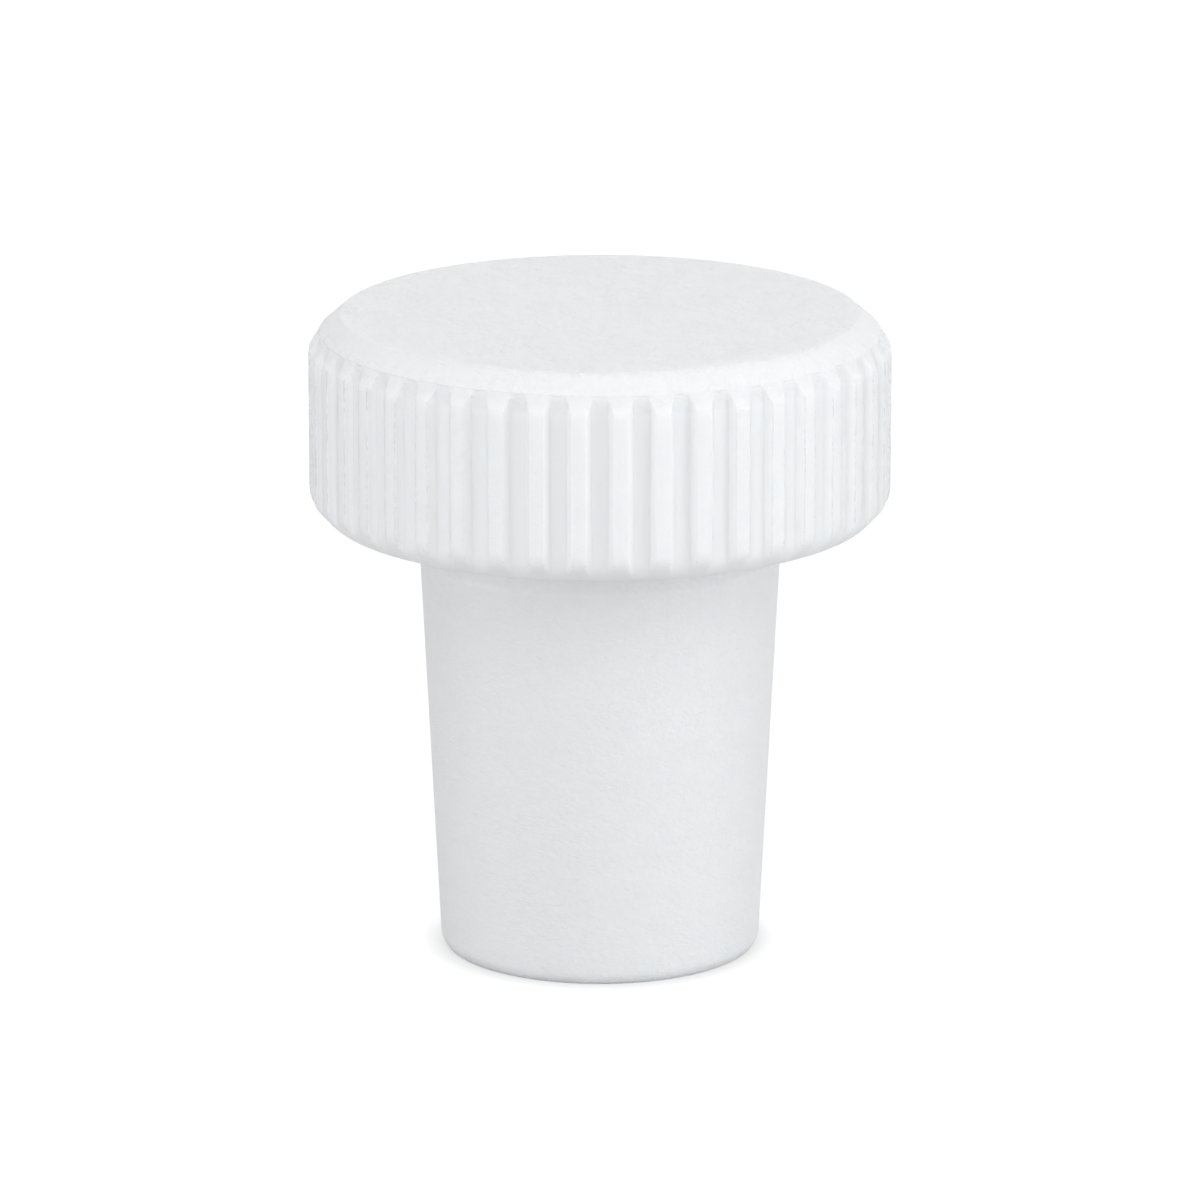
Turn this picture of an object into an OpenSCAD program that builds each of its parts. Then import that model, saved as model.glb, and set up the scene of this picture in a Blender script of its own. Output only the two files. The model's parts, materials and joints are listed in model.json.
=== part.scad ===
// Laboratory stopper: a fluted cap on a short neck over a 1:10 tapered plug,
// turned and fluted from one solid bar of white PTFE.
// Millimetres, +Z up. The origin is the centre of the plug's small end, which is the foot.

/* [Plug] */
// Diameter at the large end of the ground taper
plug_large_d = 29.2; // [24:0.1:34]
// Length of the ground taper along the axis
ground_length = 32; // [20:0.5:45]
// Length of plug over which its diameter changes by 1 mm
taper_run = 10; // [8:1:20]
// Width of the edge break around the foot
foot_break_w = 0.4; // [0.2:0.05:1.5]
// Height of the edge break around the foot
foot_break_h = 0.75; // [0.2:0.05:1.5]

/* [Neck] */
// Height of the relieved neck, from the plug's large end to the cap
neck_height = 3.35; // [1.5:0.05:6]
// Depth of the neck below the plug's large end, on the radius
neck_relief = 0.15; // [0.05:0.05:0.8]
// Height of the slope that leads in from the plug's large end to the neck
ledge_height = 0.35; // [0.1:0.05:1]

/* [Cap] */
// Diameter of the cap over the lands between its flutes
cap_d = 47; // [42:0.5:60]
// Height of the cap from its underside to its flat top
cap_height = 16.6; // [12:0.1:24]
// Width of the flatter bevel next to the flat top
top_bevel_w = 1.7; // [0.5:0.1:2.5]
// Height of the flatter bevel next to the flat top
top_bevel_h = 1.45; // [0.5:0.05:2.5]
// Width of the steeper bevel at the top of the flutes
shoulder_bevel_w = 0.9; // [0.8:0.1:1.5]
// Height of the steeper bevel at the top of the flutes
shoulder_bevel_h = 1.45; // [0.8:0.05:2]
// Width and height of the 45 degree bevel around the cap's lower rim
rim_bevel = 1.6; // [1:0.1:2]

/* [Flutes] */
// Number of flutes around the cap
flute_count = 44; // [24:4:48]
// Depth of a flute below the lands
flute_depth = 0.7; // [0.3:0.05:0.75]
// Width of a flute at the lands
flute_mouth_w = 2.2; // [1.8:0.05:2.5]
// Width of a flute's flat floor
flute_floor_w = 1.3; // [0.6:0.05:1.7]

/* [Hidden] */
$fn = 176;

plug_large_r = plug_large_d / 2;
plug_small_r = plug_large_r - ground_length / taper_run / 2;
plug_length = foot_break_h + ground_length;
neck_r = plug_large_r - neck_relief;
underside_z = plug_length + neck_height;
cap_r = cap_d / 2;
rim_r = cap_r - rim_bevel;
top_z = underside_z + cap_height;
bevel_line_r = cap_r - shoulder_bevel_w;
bevel_line_z = top_z - top_bevel_h;
shoulder_z = bevel_line_z - shoulder_bevel_h;
flat_r = bevel_line_r - top_bevel_w;
flute_floor_r = cap_r - flute_depth;
// The cutter stands past the lands by this much, so that it clears them fully.
cutter_clearance = 1;
// Half the cutter's width grows by this much for each millimetre outwards.
flank_slope = (flute_mouth_w - flute_floor_w) / 2 / flute_depth;
cutter_mouth_w = flute_mouth_w + 2 * flank_slope * cutter_clearance;

// Half section of the whole turning, from the foot up to the flat top.
module turned_section() {
    polygon([
        [0, 0],
        [plug_small_r - foot_break_w, 0],
        [plug_small_r, foot_break_h],
        [plug_large_r, plug_length],
        [neck_r, plug_length + ledge_height],
        [neck_r, underside_z],
        [rim_r, underside_z],
        [cap_r, underside_z + rim_bevel],
        [cap_r, shoulder_z],
        [bevel_line_r, bevel_line_z],
        [flat_r, top_z],
        [0, top_z]
    ]);
}

// Cutter for one flute: a straight trapezoid bar that stands along the cap at +X.
module flute_cutter() {
    translate([0, 0, underside_z - cutter_clearance])
        linear_extrude(height = cap_height + 2 * cutter_clearance)
            polygon([
                [flute_floor_r, -flute_floor_w / 2],
                [cap_r + cutter_clearance, -cutter_mouth_w / 2],
                [cap_r + cutter_clearance, cutter_mouth_w / 2],
                [flute_floor_r, flute_floor_w / 2]
            ]);
}

// The stopper: one turning, with flutes cut straight down the cap. Each flute runs out
// through the rim bevel below, and through the steeper bevel above.
module stopper() {
    color("whitesmoke")
        difference() {
            rotate_extrude() turned_section();
            for (i = [0 : flute_count - 1])
                rotate([0, 0, i * 360 / flute_count]) flute_cutter();
        }
}

stopper();
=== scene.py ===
import json
from math import atan2, cos, pi, radians, sin, tan

import bmesh
import bpy
from mathutils import Matrix, Vector


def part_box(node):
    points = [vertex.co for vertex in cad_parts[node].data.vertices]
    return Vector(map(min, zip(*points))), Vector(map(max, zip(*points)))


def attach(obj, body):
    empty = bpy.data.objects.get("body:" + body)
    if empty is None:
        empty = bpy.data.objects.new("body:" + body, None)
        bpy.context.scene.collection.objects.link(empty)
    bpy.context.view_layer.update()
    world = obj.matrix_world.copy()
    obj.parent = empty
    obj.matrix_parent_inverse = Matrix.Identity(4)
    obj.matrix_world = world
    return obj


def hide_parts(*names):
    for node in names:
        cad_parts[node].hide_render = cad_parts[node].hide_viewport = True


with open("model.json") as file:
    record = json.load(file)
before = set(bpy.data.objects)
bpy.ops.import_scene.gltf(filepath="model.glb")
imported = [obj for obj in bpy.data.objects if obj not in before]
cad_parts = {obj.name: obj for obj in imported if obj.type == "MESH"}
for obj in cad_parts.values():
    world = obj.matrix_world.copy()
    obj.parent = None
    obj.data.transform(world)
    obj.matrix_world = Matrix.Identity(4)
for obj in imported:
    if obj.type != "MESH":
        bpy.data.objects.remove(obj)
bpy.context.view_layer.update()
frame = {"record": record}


# ---- Stopper -------------------------------------------------------------------------------
# One solid piece of white PTFE, with no insert and no seam. A moulded bar is turned on a lathe
# to a cap with bevelled rims, a short neck and a plug that tapers 1:10, and the plug is finished
# to fit a 29/32 socket. The grip is then milled into the cap, one straight flute at a time.

MM = 0.001

taper = next(m for m in frame["record"]["mounts"] if m["name"] == "taper_plug")
ground_length = taper["dims"]["length_mm"] * MM
ground_low_z = taper["pos_m"][2] - ground_length / 2
ground_high_z = taper["pos_m"][2] + ground_length / 2
# The plug loses 1 mm of diameter in every 10 mm of its ground length.
taper_run = 10
plug_large_r = taper["dims"]["r_mm"] * MM
plug_small_r = plug_large_r - ground_length / taper_run / 2
foot_r = plug_small_r - 0.4 * MM

neck_r = plug_large_r - 0.15 * MM
neck_low_z = ground_high_z + 0.35 * MM
underside_z = ground_high_z + 3.35 * MM

cap_r = 23.5 * MM
rim_r = cap_r - 1.6 * MM
top_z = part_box("stopper")[1].z
bevel_line_r = cap_r - 0.9 * MM
bevel_line_z = top_z - 1.45 * MM
shoulder_z = bevel_line_z - 1.45 * MM
flat_r = bevel_line_r - 1.7 * MM
land_foot_z = underside_z + cap_r - rim_r
# The tool leaves a fine scored line where the cap's two upper bevels meet.
score_half_w = 0.07 * MM
score_depth = 0.06 * MM

flute_count = 44
flute_depth = 0.7 * MM
flute_floor_r = cap_r - flute_depth
flute_floor_w = 1.3 * MM
flute_mouth_w = 2.2 * MM
# Near its top a flute runs out a little deeper, so that it fades into the bevel.
flute_easing = 0.12 * MM
easing_h = 2.4 * MM

# Every rounding is drawn with this many straight steps.
ARC_STEPS = 4


def rounded(corners):
    """The open outline through the corners, each with the radius of the arc that rounds it."""
    points = [Vector(corner[:2]) for corner in corners]
    outline = [points[0]]
    for before, corner, after, (_, _, radius) in zip(points, points[1:], points[2:], corners[1:]):
        if radius == 0:
            outline.append(corner)
            continue
        into = (corner - before).normalized()
        turn = -into.angle_signed((after - corner).normalized())
        start = corner - into * radius * tan(abs(turn) / 2)
        side = radius if turn > 0 else -radius
        centre = start + Vector((-into.y, into.x)) * side
        for step in range(ARC_STEPS + 1):
            outline.append(centre + Matrix.Rotation(turn * step / ARC_STEPS, 2) @ (start - centre))
    outline.append(points[-1])
    return outline


def half_section(outer_r):
    """Radius and height along the turning, from the foot to the flat top, cut off at outer_r."""
    depth = (cap_r - outer_r) / flute_depth
    # The lands keep a trace of it, so that their points stay apart where the flutes bend.
    easing = flute_easing * max(depth, 0.02)
    easing_bend_r = 1.5 * MM * easing_h / easing
    shoulder = Vector((bevel_line_r - cap_r, bevel_line_z - shoulder_z))
    into_shoulder = (cap_r - outer_r + easing) / (cap_r - bevel_line_r)
    edge_top = Vector((cap_r, shoulder_z)) + shoulder * into_shoulder
    upper = Vector((flat_r - bevel_line_r, top_z - bevel_line_z)).normalized()
    line = Vector((bevel_line_r, bevel_line_z))
    score_low = line - shoulder.normalized() * score_half_w
    score_high = line + upper * score_half_w
    score_floor = line - Vector((1, 0.8)).normalized() * score_depth
    return rounded([
        (0, 0, 0),
        (foot_r, 0, 0.25 * MM),
        (plug_small_r, ground_low_z, 1.2 * MM),
        (plug_large_r, ground_high_z, 0.1 * MM),
        (neck_r, neck_low_z, 0.2 * MM),
        (neck_r, underside_z, 0.25 * MM),
        (rim_r, underside_z, 0.8 * MM),
        (outer_r, underside_z + outer_r - rim_r, 2.0 * MM),
        (outer_r, edge_top.y - easing_h, easing_bend_r),
        (*edge_top, (0.8 - 0.4 * depth) * MM),
        (*score_low, 0),
        (*score_floor, 0),
        (*score_high, 0),
        (flat_r, top_z, 0.5 * MM),
        (0, top_z, 0),
    ])


def flute_section():
    """Angle and radius across one flute, from the middle of one land to short of the next."""
    half_pitch = pi / flute_count
    half = rounded([
        (flute_floor_r, 0, 0),
        (flute_floor_r, flute_floor_w / 2, 0.2 * MM),
        (cap_r * cos(flute_mouth_w / 2 / cap_r), flute_mouth_w / 2, 0.07 * MM),
        (cap_r * cos(half_pitch), cap_r * sin(half_pitch), 0),
    ])
    half = [(atan2(point.y, point.x), point.length) for point in half]
    return [(-angle, radius) for angle, radius in reversed(half)] + half[1:-1]


def turned_and_fluted():
    """Mesh of the stopper: one column of points for each place around the cap."""
    builder = bmesh.new()
    foot_centre = builder.verts.new((0, 0, 0))
    top_centre = builder.verts.new((0, 0, top_z))
    columns = []
    for flute in range(flute_count):
        for offset, outer_r in flute_section():
            angle = 2 * pi * flute / flute_count + offset
            side = half_section(outer_r)[1:-1]
            columns.append([builder.verts.new((p.x * cos(angle), p.x * sin(angle), p.y)) for p in side])
    for here, there in zip(columns, columns[1:] + columns[:1]):
        builder.faces.new((foot_centre, there[0], here[0]))
        builder.faces.new((top_centre, here[-1], there[-1]))
        for row in range(len(here) - 1):
            builder.faces.new((here[row], there[row], there[row + 1], here[row + 1]))
    mesh = bpy.data.meshes.new("stopper_body")
    builder.to_mesh(mesh)
    builder.free()
    mesh.shade_smooth()
    return mesh


stopper = bpy.data.objects.new("stopper_body", turned_and_fluted())
bpy.context.scene.collection.objects.link(stopper)
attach(stopper, "root")
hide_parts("stopper")

# A face-area weighting keeps the flat faces flat right up to the small rounds between them.
shading = stopper.modifiers.new("flat_faces", "WEIGHTED_NORMAL")
shading.weight = 100


class Signal:
    """One node's output, on which + - * work as they do on a number."""

    def __init__(self, finish, socket):
        self.finish = finish
        self.socket = socket

    def maths(self, operation, first, second=0.0):
        return self.finish.add("ShaderNodeMath", {"operation": operation}, {0: first, 1: second})

    def __add__(self, other):
        return self.maths("ADD", self, other)

    def __radd__(self, other):
        return self.maths("ADD", other, self)

    def __sub__(self, other):
        return self.maths("SUBTRACT", self, other)

    def __rsub__(self, other):
        return self.maths("SUBTRACT", other, self)

    def __mul__(self, other):
        return self.maths("MULTIPLY", self, other)

    def __rmul__(self, other):
        return self.maths("MULTIPLY", other, self)

    def __abs__(self):
        return self.maths("ABSOLUTE", self)


class Finish:
    """The nodes of one material, or of the air around the bench."""

    def __init__(self, owner):
        owner.use_nodes = True
        self.tree = owner.node_tree
        self.tree.nodes.clear()

    def add(self, kind, settings=None, sockets=None, output=0):
        """Add a node, make its settings, then set or link its sockets, and hand back one output."""
        node = self.tree.nodes.new(kind)
        for name, value in (settings or {}).items():
            setattr(node, name, value)
        for name, value in (sockets or {}).items():
            if isinstance(value, Signal):
                self.tree.links.new(value.socket, node.inputs[name])
            else:
                node.inputs[name].default_value = value
        return Signal(self, node.outputs[output]) if node.outputs else None


def ramp(signal, start, end, low=0, high=1):
    """Low where the signal is at start, high where it is at end, and an even slope between."""
    return signal.finish.add("ShaderNodeMapRange", None, {
        "Value": signal, "From Min": start, "From Max": end, "To Min": low, "To Max": high})


def blend(amount, first, second):
    """The first colour where the amount is 0, and the second where it is 1."""
    return amount.finish.add("ShaderNodeMix", {"data_type": "RGBA"}, {
        0: amount, 6: first, 7: second}, 2)


def ptfe():
    """Waxy satin white: clouded, finely wrinkled by the turning, and painted a lighter white inside the
    flutes.
    """
    white = (0.96, 0.96, 0.96, 1)
    cloudy_white = (0.89, 0.89, 0.895, 1)
    # This lighter white is painted light: it stands in for the light that reaches into the flutes.
    flute_painted_light_white = (0.965, 0.965, 0.965, 1)
    # The grey towards which the painted shade and the dark dots and line are blended.
    shade_and_mark_grey = (0.55, 0.55, 0.56, 1)

    # All places on the surface are in millimetres from here on.
    material = bpy.data.materials.new("ptfe")
    finish = Finish(material)
    place = finish.add("ShaderNodeTexCoord", output="Object")
    place = finish.add("ShaderNodeVectorMath", {"operation": "SCALE"}, {0: place, "Scale": 1 / MM})
    x, y, z = [finish.add("ShaderNodeSeparateXYZ", None, {0: place}, axis) for axis in range(3)]
    across = finish.add("ShaderNodeVectorMath", {"operation": "MULTIPLY"}, {0: place, 1: (1, 1, 0)})
    radius = finish.add("ShaderNodeVectorMath", {"operation": "LENGTH"}, {0: across}, 1)
    cap = cap_r / MM
    underside = underside_z / MM
    land_foot = land_foot_z / MM
    shoulder = shoulder_z / MM
    bevel_line = bevel_line_z / MM
    top = top_z / MM

    # The height counts for more than the width, so that the wrinkles run around the turning.
    turned = finish.add("ShaderNodeVectorMath", {"operation": "MULTIPLY"}, {0: place, 1: (1, 1, 1.7)})
    wrinkles = finish.add("ShaderNodeTexNoise", None, {
        "Vector": turned, "Scale": 1.5, "Detail": 3, "Roughness": 0.5, "Distortion": 1.2})
    swirls = finish.add("ShaderNodeTexNoise", None, {
        "Vector": place, "Scale": 0.7, "Detail": 4, "Roughness": 0.6, "Distortion": 1.6})
    on_top = ramp(z, top - 0.5, top - 0.1)
    clouds = finish.add("ShaderNodeTexNoise", None, {"Vector": turned, "Scale": 0.18, "Detail": 4})
    tone = blend(clouds, cloudy_white, white)

    # The flutes are painted a lighter, even white, which stands in for the light that reaches into
    # them; the lands and the top keep the clouded tone.
    inside = ramp(radius, cap - 0.06, cap - 0.16)
    on_cap = ramp(z, underside - 0.1, underside + 0.1) * ramp(z, shoulder + 0.8, shoulder - 0.2)
    flute_light_and_smooth = inside * on_cap
    tone = blend(flute_light_and_smooth, tone, flute_painted_light_white)

    # A fine broken burr stands along both edges of the flutes as a bump, and painted shade greys it
    # too, most of all at the sides.
    around = finish.add("ShaderNodeMath", {"operation": "ARCTAN2"}, {0: y, 1: x}) * cap
    half_pitch = pi * cap / flute_count
    off_flute = finish.add("ShaderNodeMath", {"operation": "WRAP"}, {
        0: around, 1: half_pitch, 2: -half_pitch})
    off_edge = abs(abs(off_flute) - flute_mouth_w / 2 / MM)
    breaks = finish.add("ShaderNodeTexNoise", None, {"Vector": place, "Scale": 3, "Detail": 1})
    burr_and_shade = ramp(off_edge + 0.25 * breaks, 0.16, 0.11)
    burr_and_shade = burr_and_shade * (1 - inside) * ramp(z, shoulder + 0.8, shoulder - 0.2) * ramp(abs(x), 7, 18)

    # One wall of each flute is painted with shade, a little greyer than the rest, most of all on the
    # left.
    floor_edge = flute_floor_w / 2 / MM
    under_shoulder = ramp(z, shoulder + 0.1, shoulder - 0.2)
    painted_wall_shade = ramp(off_flute, 0.1 - floor_edge, -0.3 - floor_edge) * inside
    painted_wall_shade = painted_wall_shade * ramp(z, land_foot - 0.4, land_foot + 0.1) * under_shoulder
    painted_wall_shade = painted_wall_shade * ramp(x, -7, -16, 0.04, 0.22)

    # The steeper bevel is painted with shade, a little greyer than the flatter one above it.
    painted_bevel_shade = (1 - under_shoulder) * ramp(z, bevel_line, bevel_line - 0.1)

    # A tiny dark dot is painted at both lower corners of every land.
    corner_dot = ramp(off_edge + abs(z - land_foot), 0.1, 0.05)

    # The scored line is painted darker, and the darkening fades away towards the right.
    dark_score_line = ramp(abs(z - bevel_line) + 0.06 * breaks, 0.08, 0.05) * ramp(x, 2, -20, 0.05, 0.27)

    # Each noise is taken about its mean, so that no step shows where one fades out.
    height = wrinkles - 0.5 + 3.0 * on_top * (swirls - 0.5)
    height = height * (1 - 0.7 * on_cap - 0.3 * flute_light_and_smooth) + burr_and_shade
    relief = finish.add("ShaderNodeBump", None, {
        "Strength": 1.0, "Distance": 0.13 * MM, "Height": height})
    # The painted shade on the burrs, the flute walls and the steeper bevel, and the dark dots and
    # scored line, blend the white towards the grey.
    painted_shade_and_marks = 0.14 * burr_and_shade + painted_wall_shade + 0.09 * painted_bevel_shade + dark_score_line + 0.35 * corner_dot
    shell = finish.add("ShaderNodeBsdfPrincipled", None, {
        "Base Color": blend(painted_shade_and_marks, tone, shade_and_mark_grey),
        "Roughness": 0.36 + 0.1 * clouds,
        "IOR": 1.35,
        "Specular IOR Level": 0.3,
        "Subsurface Weight": 1,
        "Subsurface Radius": (1, 0.95, 0.9),
        "Subsurface Scale": 1.0 * MM,
        "Normal": relief,
    })
    finish.add("ShaderNodeOutputMaterial", None, {"Surface": shell})
    return material


stopper.data.materials.append(ptfe())


# ---- Bench ---------------------------------------------------------------------------------
# A plain white bench, matt and much larger than the stopper, which stands loose in its middle.
# It runs on out of sight and meets the white of the tent.

bench_half_w = 3
# The white of the bench and the tent is seen by the camera and in anything shiny or clear.
BACKDROP_RAYS = ("Is Camera Ray", "Is Glossy Ray", "Is Transmission Ray")


def sees_backdrop(finish):
    """1 on a ray that sees the backdrop, and 0 on one that carries its light to the stopper."""
    camera, glossy, clear = [finish.add("ShaderNodeLightPath", output=ray) for ray in BACKDROP_RAYS]
    either = glossy.maths("MAXIMUM", glossy, clear)
    return camera.maths("MAXIMUM", camera, either)


def bench():
    builder = bmesh.new()
    bmesh.ops.create_grid(builder, x_segments=1, y_segments=1, size=bench_half_w)
    mesh = bpy.data.meshes.new("bench")
    builder.to_mesh(mesh)
    builder.free()
    top = bpy.data.objects.new("bench", mesh)
    bpy.context.scene.collection.objects.link(top)
    return top


def bench_white():
    material = bpy.data.materials.new("bench_white")
    finish = Finish(material)
    seen = sees_backdrop(finish)
    colour = blend(seen, (0.6, 0.6, 0.6, 1), (0.3, 0.3, 0.3, 1))
    matt = finish.add("ShaderNodeBsdfDiffuse", None, {"Color": colour})
    # The white is shaded close in under the foot, as it would be if the light alone made it.
    open_sky = finish.add("ShaderNodeAmbientOcclusion", {"samples": 3}, {"Distance": 2.0 * MM}, 1)
    shaded = ramp(open_sky, 0.4, 1, 0.56, 0.79)
    glow = finish.add("ShaderNodeEmission", None, {"Color": (1, 1, 1, 1), "Strength": seen * shaded})
    both = finish.add("ShaderNodeAddShader", None, {0: matt, 1: glow})
    finish.add("ShaderNodeOutputMaterial", None, {"Surface": both})
    return material


bench_top = bench()
bench_top.data.materials.append(bench_white())


# ---- Light ---------------------------------------------------------------------------------
# A white tent, lit most from overhead, and six broad, slightly cool soft boxes in it: three low
# down at the left, in front and at the right, and three higher up.

tent = bpy.data.worlds.new("tent")
tent_air = Finish(tent)
seen = sees_backdrop(tent_air)
sky = tent_air.add("ShaderNodeTexCoord", output="Generated")
overhead = tent_air.add("ShaderNodeSeparateXYZ", None, {0: sky}, 2)
lit = ramp(overhead, 0, 1, 0, 0.94)
glow = tent_air.add("ShaderNodeBackground", None, {
    "Color": (0.985, 0.99, 1, 1), "Strength": lit * (1 - seen) + seen})
tent_air.add("ShaderNodeOutputWorld", None, {"Surface": glow})
bpy.context.scene.world = tent

aim = Vector((0, 0, 0.03))
box_distance = 0.7
box_w = 0.35


def soft_box(name, azimuth, elevation, power):
    """A cool square lamp turned to the stopper; azimuth 0 is the front and 90 the right."""
    lamp = bpy.data.objects.new(name, bpy.data.lights.new(name, "AREA"))
    lamp.data.size = box_w
    lamp.data.energy = power
    lamp.data.color = (0.95, 0.975, 1)
    around, up = radians(azimuth), radians(elevation)
    way = Vector((sin(around) * cos(up), -cos(around) * cos(up), sin(up)))
    lamp.location = aim + box_distance * way
    lamp.rotation_euler = (aim - lamp.location).to_track_quat("-Z", "Y").to_euler()
    lamp.visible_camera = False
    bpy.context.scene.collection.objects.link(lamp)


soft_box("left_box", -75, 8, 0.86)
soft_box("front_box", -15, 8, 1.2)
soft_box("right_box", 75, 8, 1.66)
soft_box("high_front_box", 0, 40, 0.8)
soft_box("high_right_box", 60, 35, 0.4)
soft_box("high_back_box", 180, 35, 0.53)


# ---- Camera --------------------------------------------------------------------------------
# A long lens in front of the stopper and above it, which looks down on the cap at a shallow
# angle and sees the whole stopper with room around it. Everything is in focus.

camera = bpy.data.objects.new("camera", bpy.data.cameras.new("camera"))
camera.data.lens = 260
camera.data.sensor_width = 36
camera.data.clip_start = 0.01
camera.location = (0, -0.6794, 0.2120)
view_centre = Vector((0, 0, 0.0287))
camera.rotation_euler = (view_centre - camera.location).to_track_quat("-Z", "Y").to_euler()
bpy.context.scene.collection.objects.link(camera)
bpy.context.scene.camera = camera
bpy.context.scene.view_settings.view_transform = "Standard"
